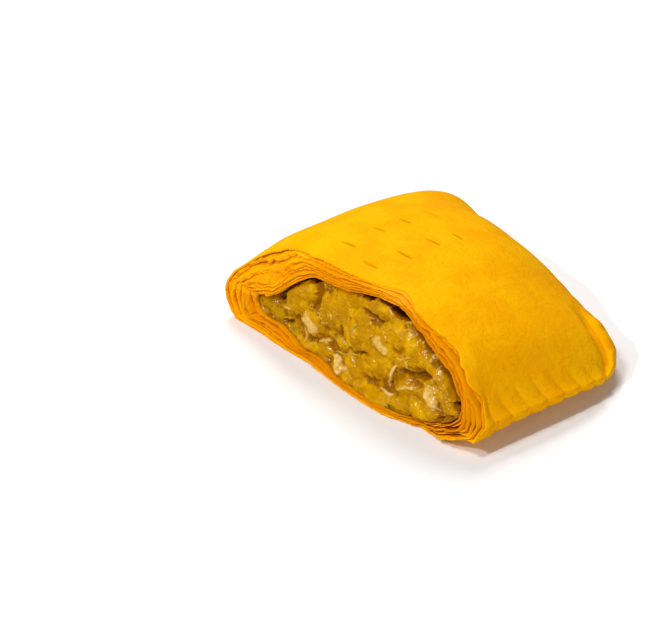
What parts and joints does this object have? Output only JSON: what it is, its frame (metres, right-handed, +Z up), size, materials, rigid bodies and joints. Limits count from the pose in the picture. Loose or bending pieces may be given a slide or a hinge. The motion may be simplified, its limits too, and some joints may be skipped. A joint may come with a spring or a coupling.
{
  "type": "jamaican patty",
  "caption": "Half of a flaky half-moon turnover, cut across to show the layered crust and the curried chicken filling, with a crimped edge and pricked slits.",
  "frame": {"origin": "middle of the whole part's box, on the surface that the turnover lies on", "axes": "+X from the folded edge to the crimped edge, +Y from the cut face to the far end, +Z up"},
  "size_m": [0.082, 0.0652, 0.026],
  "materials": {
    "crust": "satin baked pastry, golden yellow",
    "filling": "wet curry sauce with shreds of chicken"
  },
  "bodies": {
    "root": {"crust": "crust", "filling": "filling"}
  },
  "joints": []
}
